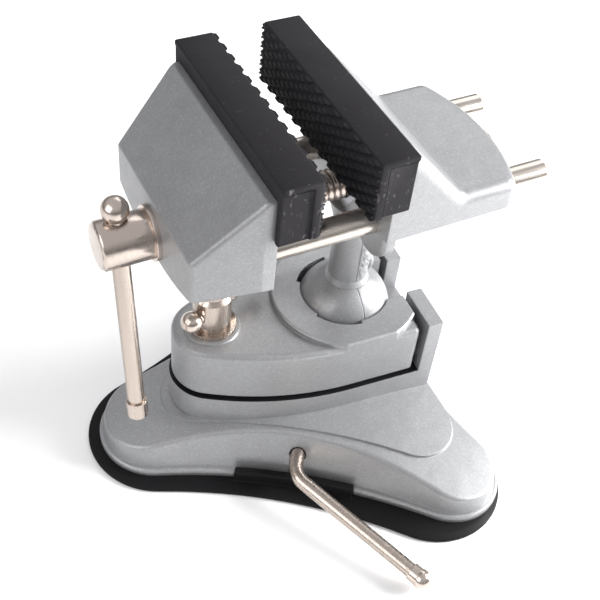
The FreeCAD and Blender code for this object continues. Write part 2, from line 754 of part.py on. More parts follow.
def moving_jaw():
    reach = size("tool_reach")
    cap_outer = size("fixed_face_x") - size("jaw_gap") - size("cap_depth")
    end_x = size("moving_end_x")
    inner_x = cap_outer + size("jaw_face_step")
    lip = size("jaw_top") - size("cap_lip")
    belly = size("moving_belly")
    wide = size("moving_half_width")
    narrow = size("moving_end_half_width")
    wall = size("jaw_wall")
    screw_level = size("screw_height")

    def envelope(inset):
        side = Part.makePolygon([
            Vector(reach, -reach, 0),
            Vector(reach, -reach, lip),
            Vector(size("moving_top_x"), -reach, lip),
            Vector(end_x, -reach, size("moving_slope_foot")),
            Vector(end_x, -reach, 0),
            Vector(reach, -reach, 0),
        ])
        plan = Part.makePolygon([
            Vector(reach, -wide, 0),
            Vector(reach, wide, 0),
            Vector(size("moving_top_x"), wide, 0),
            Vector(end_x, narrow, 0),
            Vector(end_x, -narrow, 0),
            Vector(size("moving_top_x"), -wide, 0),
            Vector(reach, -wide, 0),
        ])
        shoulder = belly + size("moving_belly_rise")
        near, middle, far = (Vector(-reach, y, z) for y, z in ((wide, shoulder), (0, belly), (-wide, shoulder)))
        over_far = Vector(-reach, -wide, reach)
        over_near = Vector(-reach, wide, reach)
        front = Part.Wire([
            Part.Arc(near, middle, far).toShape(),
            Part.makeLine(far, over_far),
            Part.makeLine(over_far, over_near),
            Part.makeLine(over_near, near),
        ])
        solid = inset_prism(side, inset, ACROSS * 2 * reach).common(inset_prism(plan, inset, UP * reach))
        solid = solid.common(inset_prism(front, inset, ALONG * 2 * reach))
        return solid.common(box(-reach, inner_x, -reach, reach, 0, reach))

    body = envelope(0)
    outer = [edge for edge in body.Edges if edge.BoundBox.XMax < inner_x - 1 and edge.Length > 3]
    body = body.makeFillet(size("moving_edge_radius"), outer)

    # Hollow behind, around the bosses of the screw and the rods
    axes = [Vector(-reach, side * size("rod_offset"), screw_level) for side in (-1, 0, 1)]
    radii = [size("rod_boss_radius"), size("screw_boss_radius"), size("rod_boss_radius")]
    bosses = [rod_along(ALONG, radius, axis, 2 * reach) for radius, axis in zip(radii, axes)]
    hollow = envelope(wall).common(box(end_x + 2 * wall, inner_x, -reach, reach, 0, size("moving_slope_foot") + wall))
    body = body.cut(hollow.cut(bosses[0].fuse(bosses[1:])))
    body = body.fuse(jaw_tongue(cap_outer, 1))
    holes = [rod_along(ALONG, size("screw_radius") + size("running_clearance"), axes[1], 2 * reach)]
    ring_room = size("ring_thickness") + 2 * size("seat_gap")
    ring_spot = Vector(inner_x, 0, screw_level)
    holes.append(rod_along(ALONG, size("ring_radius") + size("seat_gap"), ring_spot, ring_room))
    for side in (-1, 1):
        spot = Vector(size("rod_start_x"), side * size("rod_offset"), screw_level)
        holes.append(rod_along(ALONG, size("rod_radius"), spot, reach))
        pin_top = screw_level - size("rod_pin_drop") + size("rod_pin_length")
        pin_spot = Vector(size("rod_pin_x"), side * size("rod_offset"), pin_top)
        holes.append(rod_along(-UP, size("rod_pin_radius"), pin_spot, pin_top))
    return feature("moving_jaw", solid_of(body.cut(holes)))


def guide_rods():
    for label, side in (("guide_rod_near", -1), ("guide_rod_far", 1)):
        rod = turned_body(label, [
            ("0", "0"),
            ("Sizes.rod_radius", "0"),
            ("Sizes.rod_radius", "Sizes.rod_end_x - Sizes.rod_start_x - Sizes.rod_bevel"),
            ("Sizes.rod_radius - Sizes.rod_bevel", "Sizes.rod_end_x - Sizes.rod_start_x"),
            ("0", "Sizes.rod_end_x - Sizes.rod_start_x"),
        ])
        drilled = cross_bore(label, rod, "Sizes.rod_pin_radius", "Sizes.rod_pin_x - Sizes.rod_start_x")
        spot = Vector(size("rod_start_x"), side * size("rod_offset"), size("screw_height"))
        drilled.Placement = Placement(spot, Rotation(ACROSS, 90))
        named(drilled, label)


def rod_pins():
    pins = []
    for side in (-1, 1):
        spot = Vector(size("rod_pin_x"), side * size("rod_offset"), size("screw_height") - size("rod_pin_drop"))
        pins.append(Part.makeCylinder(size("rod_pin_radius"), size("rod_pin_length"), spot))
    return feature("rod_pins", Part.makeCompound(pins))


def nut_prism(clearance=0.0):
    """Hexagon nut let into the fixed jaw from its gripping side."""
    radius = size("nut_flats") / math.sqrt(3) + clearance
    start = size("fixed_face_x") + size("cap_depth")
    points = [Vector(start, radius * math.cos(math.radians(60 * k)),
                     size("screw_height") + radius * math.sin(math.radians(60 * k))) for k in range(6)]
    return polygon_prism(points, ALONG * size("nut_length"))


def fixed_jaw():
    reach = size("tool_reach")
    cap_outer = size("fixed_face_x") + size("cap_depth")
    lip = size("jaw_top") - size("cap_lip")
    deck = size("fixed_deck")
    rear_x = size("fixed_rear_x")
    skirt = size("fixed_skirt")
    screw_level = size("screw_height")
    front_wall = size("fixed_front_wall")
    fold_x = size("fixed_slope_foot_x")

    def envelope(inset):
        side = Part.makePolygon([
            Vector(-reach, -reach, 0),
            Vector(-reach, -reach, lip),
            Vector(size("fixed_slope_top_x"), -reach, lip),
            Vector(fold_x, -reach, deck),
            Vector(rear_x, -reach, deck),
            Vector(rear_x, -reach, 0),
            Vector(-reach, -reach, 0),
        ])
        half = size("fixed_half_width")
        side_x = size("fixed_rear_side_x")
        corners = [Vector(side_x, -half, 0), Vector(side_x, half, 0), Vector(-reach, half, 0), Vector(-reach, -half, 0)]
        plan = Part.Wire([
            Part.Arc(corners[0], Vector(rear_x, 0, 0), corners[1]).toShape(),
            Part.makeLine(corners[1], corners[2]),
            Part.makeLine(corners[2], corners[3]),
            Part.makeLine(corners[3], corners[0]),
        ])
        block = inset_prism(side, inset, ACROSS * 2 * reach)
        folds = [edge for edge in block.Edges if edge.BoundBox.YLength > reach
                 and abs(edge.BoundBox.XMin - fold_x) < wall and abs(edge.BoundBox.ZMin - deck) < 2 * wall]
        block = block.makeFillet(size("fixed_slope_blend"), folds)
        block = block.common(inset_prism(plan, inset, UP * reach))
        return block.common(box(cap_outer, reach, -reach, reach, 0, reach))

    wall = size("jaw_wall")
    outside = envelope(0)
    rolled = [edge for edge in outside.Edges if edge.BoundBox.ZMax > skirt
              and edge.BoundBox.XMin > fold_x - wall and edge.BoundBox.YLength < 2 * size("fixed_half_width") + wall
              and not (edge.BoundBox.YLength > size("fixed_half_width") and edge.BoundBox.XMax < rear_x - wall)]
    outside = outside.makeFillet(size("fixed_edge_radius"), rolled)
    hollow = envelope(wall).cut(box(-reach, cap_outer + front_wall, -reach, reach, 0, reach))
    body = outside.common(box(-reach, reach, -reach, reach, skirt, reach)).cut(hollow)

    # Bosses for screw and rods, and the lobed front wall that they start from
    start = Vector(cap_outer, 0, screw_level)
    tubes = [rod_along(ALONG, size("screw_boss_radius"), start, reach).common(outside)]
    for side in (-1, 1):
        offset = ACROSS * side * size("rod_offset")
        tubes.append(rod_along(ALONG, size("rod_boss_radius"), start + offset, reach).common(outside))
        lobe = rod_along(ALONG, size("lobe_radius"), start + offset - UP * size("lobe_drop"), front_wall)
        rim = [edge for edge in lobe.Edges if edge.BoundBox.XMax < cap_outer + 1]
        tubes.append(lobe.makeFillet(size("lobe_edge_radius"), rim))
    web_low = screw_level - size("screw_boss_radius") + 2
    tubes.append(box(cap_outer, cap_outer + front_wall, -size("rod_offset"), size("rod_offset"), web_low, skirt + wall))
    neck_low = size("ball_height") + math.sqrt(size("ball_radius") ** 2 - size("ball_flat_radius") ** 2)
    foot = UP * neck_low
    neck = Part.makeCylinder(size("neck_radius"), screw_level - neck_low, foot)
    flare = Part.makeCone(size("ball_flat_radius"), size("neck_radius"), size("neck_flare"), foot)
    crown_start = size("neck_top_start")
    crown_height = screw_level - size("screw_boss_radius") + wall - crown_start
    crown = Part.makeCone(size("neck_radius"), size("neck_top_radius"), crown_height, UP * crown_start)
    body = body.fuse(tubes + [neck, flare, crown, jaw_tongue(cap_outer, -1)])

    # Bores for the screw, the nut, the rods and the stud of the ball
    lead_in = start - ALONG * size("cap_depth")
    holes = [rod_along(ALONG, size("screw_radius") + size("seat_gap"), lead_in, reach), nut_prism()]
    for side in (-1, 1):
        spot = lead_in + ACROSS * side * size("rod_offset")
        holes.append(rod_along(ALONG, size("rod_radius") + size("running_clearance"), spot, reach))
    stud_depth = size("stud_length") + size("seat_gap")
    holes.append(Part.makeCylinder(size("stud_radius") + size("press_clearance"), stud_depth, foot))
    return feature("fixed_jaw", solid_of(body.cut(holes)))


def lead_nut():
    start = Vector(size("fixed_face_x") + size("cap_depth") - 1, 0, size("screw_height"))
    bore = rod_along(ALONG, size("screw_radius") + size("running_clearance"), start, size("tool_reach"))
    return feature("lead_nut", solid_of(nut_prism().cut(bore)))


def lead_screw_parts():
    washer_x = size("moving_end_x") - size("thrust_washer_thickness")
    washer = turned_body("thrust_washer", [
        ("Sizes.screw_radius + Sizes.running_clearance", "0"),
        ("Sizes.thrust_washer_radius", "0"),
        ("Sizes.thrust_washer_radius", "Sizes.thrust_washer_thickness"),
        ("Sizes.screw_radius + Sizes.running_clearance", "Sizes.thrust_washer_thickness"),
    ])
    washer.Placement = Placement(Vector(washer_x, 0, size("screw_height")), Rotation(ACROSS, 90))
    named(washer, "thrust_washer")

    outer_x = washer_x - size("screw_head_length")
    cap_outer = size("fixed_face_x") - size("jaw_gap") - size("cap_depth")
    ring_x = cap_outer + size("jaw_face_step") + size("seat_gap")
    start = "(Sizes.moving_end_x - Sizes.thrust_washer_thickness - Sizes.screw_head_length)"
    jaw_inner = "(Sizes.fixed_face_x - Sizes.jaw_gap - Sizes.cap_depth + Sizes.jaw_face_step + Sizes.seat_gap)"
    groove = f"{jaw_inner} - {start}"
    end = f"Sizes.screw_end_x - {start}"
    screw = turned_body("lead_screw", [
        ("0", "0"),
        ("Sizes.screw_head_radius - Sizes.screw_head_bevel", "0"),
        ("Sizes.screw_head_radius", "Sizes.screw_head_bevel"),
        ("Sizes.screw_head_radius", "Sizes.screw_head_length"),
        ("Sizes.screw_radius", "Sizes.screw_head_length"),
        ("Sizes.screw_radius", groove),
        ("Sizes.screw_radius - Sizes.ring_groove", groove),
        ("Sizes.screw_radius - Sizes.ring_groove", f"{groove} + Sizes.ring_thickness"),
        ("Sizes.screw_radius", f"{groove} + Sizes.ring_thickness"),
        ("Sizes.screw_radius", f"{end} - Sizes.screw_head_bevel"),
        ("Sizes.screw_radius - Sizes.screw_head_bevel", end),
        ("0", end),
    ])
    bore = "Sizes.bar_radius + Sizes.bar_hole_clearance"
    drilled = cross_bore("lead_screw", screw, bore, "Sizes.screw_hole_x", -size("bar_tilt"))
    drilled.Placement = Placement(Vector(outer_x, 0, size("screw_height")), Rotation(ACROSS, 90))
    named(drilled, "lead_screw")

    # Retaining ring behind the jaw
    core = size("screw_radius") - size("ring_groove")
    ring = rod_along(ALONG, size("ring_radius"), Vector(ring_x, 0, 0), size("ring_thickness"))
    ring = ring.cut(rod_along(ALONG, core, Vector(ring_x, 0, 0), size("ring_thickness")))
    mouth = box(ring_x, ring_x + size("ring_thickness"), -core / 2, core / 2, -size("tool_reach"), 0)
    feature("retaining_ring", solid_of(ring.cut(mouth)), Placement(UP * size("screw_height"), Rotation()))


def main_bar_parts():
    washer_x = size("moving_end_x") - size("thrust_washer_thickness")
    centre = Vector(washer_x - size("screw_head_length") + size("screw_hole_x"), 0, size("screw_height"))
    to_row = Placement(centre, Rotation(ALONG, -size("bar_tilt")))
    radius = size("bar_radius")
    knob_radius = size("bar_knob_radius")
    hole = radius + size("bar_hole_clearance")
    top = size("screw_head_radius") + math.sqrt(knob_radius ** 2 - hole ** 2) + size("seat_gap")
    foot = UP * (top - size("bar_length"))
    feature("main_bar", Part.makeCylinder(radius, size("bar_length"), foot), to_row)
    socket = Part.makeCylinder(radius + size("press_clearance"), size("bar_length"), foot)
    knob = Part.makeSphere(knob_radius, UP * top).cut(socket)
    feature("main_bar_knob", solid_of(knob), to_row)
    collar_radius = size("bar_collar_radius")
    length = size("bar_collar_length")
    low = top - size("bar_length") + size("bar_collar_depth") - length
    collar = Part.makeCylinder(collar_radius, length, UP * low)
    collar = collar.makeChamfer(collar_radius / 3, edges_at(collar, low))
    feature("main_bar_collar", solid_of(collar.cut(socket)), to_row)


base_casting()
suction_pad()
lever_parts()
lift_parts()
clamp_plate()
clamp_fasteners()
swivel_ball()
fixed_jaw()
lead_nut()
jaw_cap("fixed_jaw_cap", size("fixed_face_x") + size("cap_depth"), -1)
moving_jaw()
jaw_cap("moving_jaw_cap", size("fixed_face_x") - size("jaw_gap") - size("cap_depth"), 1)
guide_rods()
rod_pins()
lead_screw_parts()
main_bar_parts()
doc.recompute()

for obj in doc.Objects:
    if "Invalid" in obj.State or "Error" in obj.State:
        raise RuntimeError(f"{obj.Label} did not compute: {obj.State}")
os.makedirs("parts", exist_ok=True)
for obj in subparts:
    if obj.Shape.isNull() or not obj.Shape.isValid():
        raise RuntimeError(f"{obj.Label} has no valid shape")
for obj in subparts:
    obj.Shape.exportStep(f"parts/{obj.Label}.step")
    print(f"{obj.Label}: {obj.Shape.Volume:.1f} mm3, {len(obj.Shape.Solids)} solid(s)")
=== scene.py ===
import math

import bmesh
import bpy
from mathutils import Matrix, Vector, noise


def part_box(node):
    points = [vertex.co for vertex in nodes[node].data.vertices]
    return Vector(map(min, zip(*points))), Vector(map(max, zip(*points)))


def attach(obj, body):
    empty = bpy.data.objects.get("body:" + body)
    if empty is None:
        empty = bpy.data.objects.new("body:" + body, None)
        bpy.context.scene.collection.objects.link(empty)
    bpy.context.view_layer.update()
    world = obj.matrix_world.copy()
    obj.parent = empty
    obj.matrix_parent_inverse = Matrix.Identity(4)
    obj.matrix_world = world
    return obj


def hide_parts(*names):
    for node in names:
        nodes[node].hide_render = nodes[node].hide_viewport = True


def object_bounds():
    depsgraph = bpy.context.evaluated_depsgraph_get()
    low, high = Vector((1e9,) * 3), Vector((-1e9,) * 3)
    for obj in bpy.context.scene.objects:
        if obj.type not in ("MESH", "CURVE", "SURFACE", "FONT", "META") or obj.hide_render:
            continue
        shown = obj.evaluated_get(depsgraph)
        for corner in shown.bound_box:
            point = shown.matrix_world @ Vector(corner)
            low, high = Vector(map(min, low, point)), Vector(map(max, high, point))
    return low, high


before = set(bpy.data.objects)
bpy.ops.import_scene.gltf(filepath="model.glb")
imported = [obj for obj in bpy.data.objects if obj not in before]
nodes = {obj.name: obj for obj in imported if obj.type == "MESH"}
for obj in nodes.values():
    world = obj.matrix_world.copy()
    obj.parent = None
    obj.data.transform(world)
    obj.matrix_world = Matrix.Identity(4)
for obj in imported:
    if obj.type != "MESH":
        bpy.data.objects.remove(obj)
cad_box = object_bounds()

# Camera
# Seen from in front and above, on the side of the suction lever. The distance and the
# lens were worked out from the base outline, the ball, the rods and the jaw caps.
MM = 0.001
camera_spot = Vector((-141.1, -201.5, 302.1)) * MM
yaw, pitch, roll = (math.radians(angle) for angle in (31.69, 46.44, -6.93))
focal_pixels = 1045.6
picture_pixels = 600
forward = Vector((math.sin(yaw) * math.cos(pitch), math.cos(yaw) * math.cos(pitch), -math.sin(pitch)))
level = Vector((math.cos(yaw), -math.sin(yaw), 0))
down = forward.cross(level)
right = level * math.cos(roll) + down * math.sin(roll)
down = down * math.cos(roll) - level * math.sin(roll)
camera_data = bpy.data.cameras.new("camera")
camera_data.sensor_width = 36
camera_data.lens = focal_pixels / picture_pixels * camera_data.sensor_width
camera_data.clip_start = 0.01
camera = bpy.data.objects.new("camera", camera_data)
turn = Matrix((right, -down, -forward)).transposed().to_4x4()
camera.matrix_world = Matrix.Translation(camera_spot) @ turn
bpy.context.scene.collection.objects.link(camera)
bpy.context.scene.camera = camera
bpy.context.scene.view_settings.view_transform = "Standard"

# Floor and light
# A plain pale sheet under the vise. The main light is a soft lamp on the right, with weaker
# ones behind and on the left. The room is paler above than at its walls, so that the plated
# rods show light and dark bands.
floor_half = 12.0
floor_drop = 0.2 * MM


def piece_of(shape, name):
    """A finished shape as a piece of the scene."""
    mesh = bpy.data.meshes.new(name)
    shape.to_mesh(mesh)
    shape.free()
    piece = bpy.data.objects.new(name, mesh)
    bpy.context.scene.collection.objects.link(piece)
    return piece


sheet = bmesh.new()
bmesh.ops.create_grid(sheet, x_segments=1, y_segments=1, size=floor_half)
floor = piece_of(sheet, "floor")
floor.location.z = cad_box[0][2] - floor_drop
floor_paint = bpy.data.materials.new("floor_paint")
floor_paint.use_nodes = True
floor_shader = floor_paint.node_tree.nodes["Principled BSDF"]
floor_shader.inputs["Base Color"].default_value = (0.97, 0.97, 0.97, 1)
floor_shader.inputs["Roughness"].default_value = 0.9
floor.data.materials.append(floor_paint)

room = bpy.data.worlds.new("room")
bpy.context.scene.world = room
room.use_nodes = True
room_tree = room.node_tree
room_place = room_tree.nodes.new("ShaderNodeTexCoord").outputs["Generated"]
room_height = room_tree.nodes.new("ShaderNodeSeparateXYZ")
room_ramp = room_tree.nodes.new("ShaderNodeValToRGB")
room_ramp.color_ramp.elements[0].position = 0.02
room_ramp.color_ramp.elements[0].color = (0.20, 0.20, 0.205, 1)
room_ramp.color_ramp.elements[1].position = 0.62
room_ramp.color_ramp.elements[1].color = (1.0, 1.0, 1.02, 1)
room_tree.links.new(room_place, room_height.inputs[0])
room_tree.links.new(room_height.outputs["Z"], room_ramp.inputs["Fac"])
room_tree.links.new(room_ramp.outputs["Color"], room_tree.nodes["Background"].inputs["Color"])
room_tree.nodes["Background"].inputs["Strength"].default_value = 0.66


def soft_lamp(name, spot, aim, width, length, power):
    """A rectangular lamp turned towards a spot."""
    data = bpy.data.lights.new(name, "AREA")
    data.shape = "RECTANGLE"
    data.size = width
    data.size_y = length
    data.energy = power
    lamp = bpy.data.objects.new(name, data)
    lamp.location = spot
    lamp.rotation_euler = (Vector(aim) - Vector(spot)).to_track_quat("-Z", "Y").to_euler()
    bpy.context.scene.collection.objects.link(lamp)


soft_lamp("window_lamp", (0.50, -0.22, 0.27), (0, 0, 0.06), 0.32, 0.32, 9)
soft_lamp("back_lamp", (0.55, 0.60, 0.70), (0, 0, 0.06), 0.6, 0.6, 1.6)
soft_lamp("room_lamp", (-0.70, -0.15, 0.50), (0, 0, 0.08), 0.6, 0.6, 2.8)

# Base casting
# Die-cast in one piece with its pedestal, its two uprights and the cup under the ball,
# fettled, then sprayed with silver metallic paint: fine flake over a slightly pebbled
# skin, a little darker in places, with every edge softened by the paint.


def blank_material(name):
    """A new material with its node tree, its shader and the Object coordinates for its patterns."""
    material = bpy.data.materials.new(name)
    material.use_nodes = True
    tree = material.node_tree
    shader = tree.nodes["Principled BSDF"]
    place = tree.nodes.new("ShaderNodeTexCoord").outputs["Object"]
    return material, tree, shader, place


def noise_of(tree, place, scale, detail=3.0, stretch=None):
    """Noise in object space; scale counts features per metre."""
    if stretch is not None:
        mapping = tree.nodes.new("ShaderNodeMapping")
        mapping.inputs["Scale"].default_value = stretch
        tree.links.new(place, mapping.inputs["Vector"])
        place = mapping.outputs["Vector"]
    grain = tree.nodes.new("ShaderNodeTexNoise")
    grain.inputs["Scale"].default_value = scale
    grain.inputs["Detail"].default_value = detail
    tree.links.new(place, grain.inputs["Vector"])
    return grain.outputs["Fac"]


def ramp_of(tree, value, stops):
    """Colour ramp with (position, colour) stops."""
    ramp = tree.nodes.new("ShaderNodeValToRGB")
    elements = ramp.color_ramp.elements
    while len(elements) < len(stops):
        elements.new(0.5)
    for element, (spot, colour) in zip(elements, stops):
        element.position = spot
        element.color = (*colour, 1)
    tree.links.new(value, ramp.inputs["Fac"])
    return ramp.outputs["Color"]


def range_of(tree, value, low, high, from_low=0.3, from_high=0.7):
    """A value spread onto low..high; noise runs from about 0.3 to 0.7."""
    spread = tree.nodes.new("ShaderNodeMapRange")
    spread.inputs["From Min"].default_value = from_low
    spread.inputs["From Max"].default_value = from_high
    spread.inputs["To Min"].default_value = low
    spread.inputs["To Max"].default_value = high
    tree.links.new(value, spread.inputs["Value"])
    return spread.outputs["Result"]


def bump_of(tree, height, distance, strength, below):
    """A raised pattern on top of the normals below it."""
    bump = tree.nodes.new("ShaderNodeBump")
    bump.inputs["Distance"].default_value = distance
    bump.inputs["Strength"].default_value = strength
    tree.links.new(height, bump.inputs["Height"])
    tree.links.new(below, bump.inputs["Normal"])
    return bump.outputs["Normal"]


def soft_edge_of(tree, radius):
    """Normals that run smoothly over an edge, as thick paint or a worn edge does."""
    edge = tree.nodes.new("ShaderNodeBevel")
    edge.samples = 4
    edge.inputs["Radius"].default_value = radius
    return edge.outputs["Normal"]


def mix_of(tree, first, second, blend="MIX"):
    """Two colours in a mix node: the socket for its factor, and the mixed colour."""
    mix = tree.nodes.new("ShaderNodeMix")
    mix.data_type = "RGBA"
    mix.blend_type = blend
    first_colour, second_colour, mixed_colour = mix.inputs[6], mix.inputs[7], mix.outputs[2]
    tree.links.new(first, first_colour)
    tree.links.new(second, second_colour)
    return mix.inputs["Factor"], mixed_colour


def multiply_of(tree, first, second):
    """One colour darkened by another."""
    factor, darkened = mix_of(tree, first, second, "MULTIPLY")
    factor.default_value = 1.0
    return darkened


def math_of(tree, operation, *values):
    """One sum on links or numbers."""
    step = tree.nodes.new("ShaderNodeMath")
    step.operation = operation
    for place, value in enumerate(values):
        if isinstance(value, (int, float)):
            step.inputs[place].default_value = value
        else:
            tree.links.new(value, step.inputs[place])
    return step.outputs[0]


def parts_of(tree, vector):
    """The X, Y and Z of a vector."""
    split = tree.nodes.new("ShaderNodeSeparateXYZ")
    tree.links.new(vector, split.inputs[0])
    return split.outputs


def silver_paint_of(name, grit, seam=None, ledge=None):
    """Silver metallic paint over a casting. Grit is the skin's roughness, seam the half width of a mould
    seam at X = 0, and ledge the height of a flat ledge in a narrow gap, painted near black there as painted
    shade of the gap."""
    material, tree, shader, place = blank_material(name)
    flake = tree.nodes.new("ShaderNodeTexVoronoi")
    flake.inputs["Scale"].default_value = 2600
    tree.links.new(place, flake.inputs["Vector"])
    stops = [(0.0, (0.30, 0.303, 0.31)), (0.75, (0.345, 0.348, 0.355)), (1.0, (0.42, 0.42, 0.425))]
    flakes = ramp_of(tree, flake.outputs["Color"], stops)
    cloud = ramp_of(tree, noise_of(tree, place, 38), [(0.3, (0.92, 0.92, 0.92)), (0.7, (1.0, 1.0, 1.0))])
    colour = multiply_of(tree, flakes, cloud)
    tree.links.new(range_of(tree, noise_of(tree, place, 210), 0.36, 0.46), shader.inputs["Roughness"])
    normal = soft_edge_of(tree, 0.6 * MM)
    if seam is not None:
        beside = math_of(tree, "ABSOLUTE", parts_of(tree, place)["X"])
        level = range_of(tree, beside, 0, 1, seam * 0.4, seam)
        shade = ramp_of(tree, level, [(0.0, (0.35, 0.35, 0.36)), (1.0, (1, 1, 1))])
        colour = multiply_of(tree, colour, shade)
        normal = bump_of(tree, level, 0.35 * MM, 0.8, normal)
    if ledge is not None:
        facing = tree.nodes.new("ShaderNodeNewGeometry").outputs["True Normal"]
        at_ledge = math_of(tree, "COMPARE", parts_of(tree, place)["Z"], ledge, 0.3 * MM)
        level_face = math_of(tree, "GREATER_THAN", parts_of(tree, facing)["Z"], 0.95)
        both = math_of(tree, "MULTIPLY", at_ledge, level_face)
        # Painted shade: the level face at the ledge's height is darkened to near black, standing in for the
        # shade in the gap under the plate.
        painted_gap_shade = ramp_of(tree, both, [(0.0, (1, 1, 1)), (1.0, (0.05, 0.05, 0.055))])
        colour = multiply_of(tree, colour, painted_gap_shade)
    tree.links.new(colour, shader.inputs["Base Color"])
    skin = bump_of(tree, noise_of(tree, place, 1500, 2), 0.1 * MM * grit, 0.30, normal)
    waves = bump_of(tree, noise_of(tree, place, 160, 2), 0.35 * MM, 0.22, skin)
    tree.links.new(waves, shader.inputs["Normal"])
    shader.inputs["Metallic"].default_value = 0.5
    return material


silver_paint = silver_paint_of("silver_paint", 1)


def finish_of(material, *names):
    """A CAD node keeps its shape and gets its real finish."""
    for name in names:
        mesh = nodes[name].data
        mesh.materials.clear()
        mesh.materials.append(material)


def place_on(piece, body, slot, material, *replaced):
    """A finished piece gets its material and body, and takes the place of CAD nodes. Its slot is not used.
    """
    piece.data.materials.clear()
    piece.data.materials.append(material)
    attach(piece, body)
    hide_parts(*replaced)


def end_cut(shape, spot, way):
    """Take off what lies past a plane and close the cut."""
    everything = shape.verts[:] + shape.edges[:] + shape.faces[:]
    cut = bmesh.ops.bisect_plane(shape, geom=everything, plane_co=spot, plane_no=way, clear_outer=True)
    edges = [item for item in cut["geom_cut"] if isinstance(item, bmesh.types.BMEdge)]
    bmesh.ops.edgeloop_fill(shape, edges=edges)


def merged(node):
    """A copy of a node's mesh, its loose triangles welded together."""
    shape = bmesh.new()
    shape.from_mesh(nodes[node].data)
    bmesh.ops.remove_doubles(shape, verts=shape.verts, dist=weld_gap)
    return shape


def put_into(shape, other):
    """Add a second shape to a first one."""
    loose = bpy.data.meshes.new("loose")
    other.to_mesh(loose)
    other.free()
    shape.from_mesh(loose)


def whole_lobed_base():
    """The base with the end of its far lobe made from the near one, seen in a mirror.

    The solid's bore for the lever's shaft runs on too far and breaks out through the far lobe's roof.
    """
    across = Vector((math.sin(base_turn), math.cos(base_turn), 0))
    solid = nodes["base_casting"].data
    body = bmesh.new()
    body.from_mesh(solid)
    facing = body.loops.layers.float_vector.new("facing")
    for face, polygon in zip(body.faces, solid.polygons):
        for corner, index in zip(face.loops, polygon.loop_indices):
            corner[facing] = solid.corner_normals[index].vector
    bmesh.ops.remove_doubles(body, verts=body.verts, dist=weld_gap)
    lobe = body.copy()
    end_cut(body, across * lobe_end, across)
    end_cut(lobe, across * -lobe_end, across)
    mirror = Matrix.Scale(-1, 4, across)
    lobe.transform(mirror)
    facing = lobe.loops.layers.float_vector["facing"]
    for face in lobe.faces:
        for corner in face.loops:
            corner[facing] = mirror @ corner[facing]
    put_into(body, lobe)
    bmesh.ops.recalc_face_normals(body, faces=body.faces)
    piece = piece_of(body, "base_casting_painted")
    piece.data.shade_smooth()
    piece.data.normals_split_custom_set([item.vector[:] for item in piece.data.attributes["facing"].data])
    piece.data.attributes.remove(piece.data.attributes["facing"])
    return piece


weld_gap = 0.004 * MM
base_turn = math.radians(4.2)
lobe_end = 48 * MM
# The pedestal's top ledge under the clamp plate gets painted shade, near black, for the dark gap there.
base_paint = silver_paint_of("base_paint", 1, ledge=29 * MM)
place_on(whole_lobed_base(), "base", "painted_casting", base_paint, "base_casting")

# Suction pad
# A moulded sheet of soft black rubber under the base, with a rounded lip all round and
# an upstanding tab by the lever, dusty where fingers pull it.


def rubber(name, dark, light, rough_low, rough_high, grain, scuffed_end=None):
    """Moulded rubber with pale dust; past scuffed_end, along Y either way, it is rubbed and scratched."""
    material, tree, shader, place = blank_material(name)
    dust = noise_of(tree, place, 900, 6)
    colour = ramp_of(tree, dust, [(0.35, dark), (0.66, dark), (0.86, light)])
    if scuffed_end is not None:
        reach = math_of(tree, "ABSOLUTE", parts_of(tree, place)["Y"])
        past = math_of(tree, "GREATER_THAN", reach, scuffed_end)
        scratch = noise_of(tree, place, 700, 9, (1, 1, 0.6))
        torn = tuple(3.0 * share for share in light)
        marks = ramp_of(tree, scratch, [(0.0, dark), (0.60, dark), (0.84, torn)])
        factor, colour = mix_of(tree, colour, marks)
        tree.links.new(past, factor)
    tree.links.new(colour, shader.inputs["Base Color"])
    worn = range_of(tree, noise_of(tree, place, 120), rough_low, rough_high)
    tree.links.new(worn, shader.inputs["Roughness"])
    edges = soft_edge_of(tree, 0.5 * MM)
    skin = bump_of(tree, noise_of(tree, place, grain, 4), 0.12 * MM, 0.4, edges)
    tree.links.new(skin, shader.inputs["Normal"])
    shader.inputs["Specular IOR Level"].default_value = 0.16
    return material


def softened(node, name, width, move=None):
    """A merged copy of a node's mesh with rolled edges; move shifts its corners first."""
    shape = merged(node)
    bmesh.ops.dissolve_limit(shape, angle_limit=math.radians(0.4), verts=shape.verts, edges=shape.edges)
    if move is not None:
        for corner in shape.verts:
            corner.co = move(corner.co)
    piece = piece_of(shape, name)
    smoothed(piece.data)
    roll_edges = piece.modifiers.new("rolled_edges", "BEVEL")
    roll_edges.width = width
    roll_edges.segments = 3
    roll_edges.limit_method = "ANGLE"
    roll_edges.angle_limit = math.radians(32)
    roll_edges.use_clamp_overlap = False
    return plain(piece)


def plain(piece):
    """A piece with its modifiers turned into one plain mesh, smooth but for its sharp edges."""
    weighted = piece.modifiers.new("weighted_normals", "WEIGHTED_NORMAL")
    weighted.keep_sharp = True
    bpy.context.view_layer.update()
    evaluated = piece.evaluated_get(bpy.context.evaluated_depsgraph_get())
    result = bpy.data.meshes.new_from_object(evaluated)
    piece.modifiers.clear()
    piece.data = result
    return piece


def smoothed(mesh, angle=38):
    """Smooth shading but for edges sharper than an angle."""
    mesh.shade_smooth()
    mesh.set_sharp_from_angle(angle=math.radians(angle))


pad_rubber = rubber("pad_rubber", (0.0065, 0.006, 0.0068), (0.030, 0.030, 0.033), 0.45, 0.62, 700)
pad = softened("suction_pad", "suction_pad_rubber", 0.45 * MM)
place_on(pad, "base", "pad_rubber", pad_rubber, "suction_pad")

# Suction lever and its cap
# Bent from one drawn steel rod, nickel plated with a warm cast. The cap is turned and
# pressed on, with faint rings from the tool.


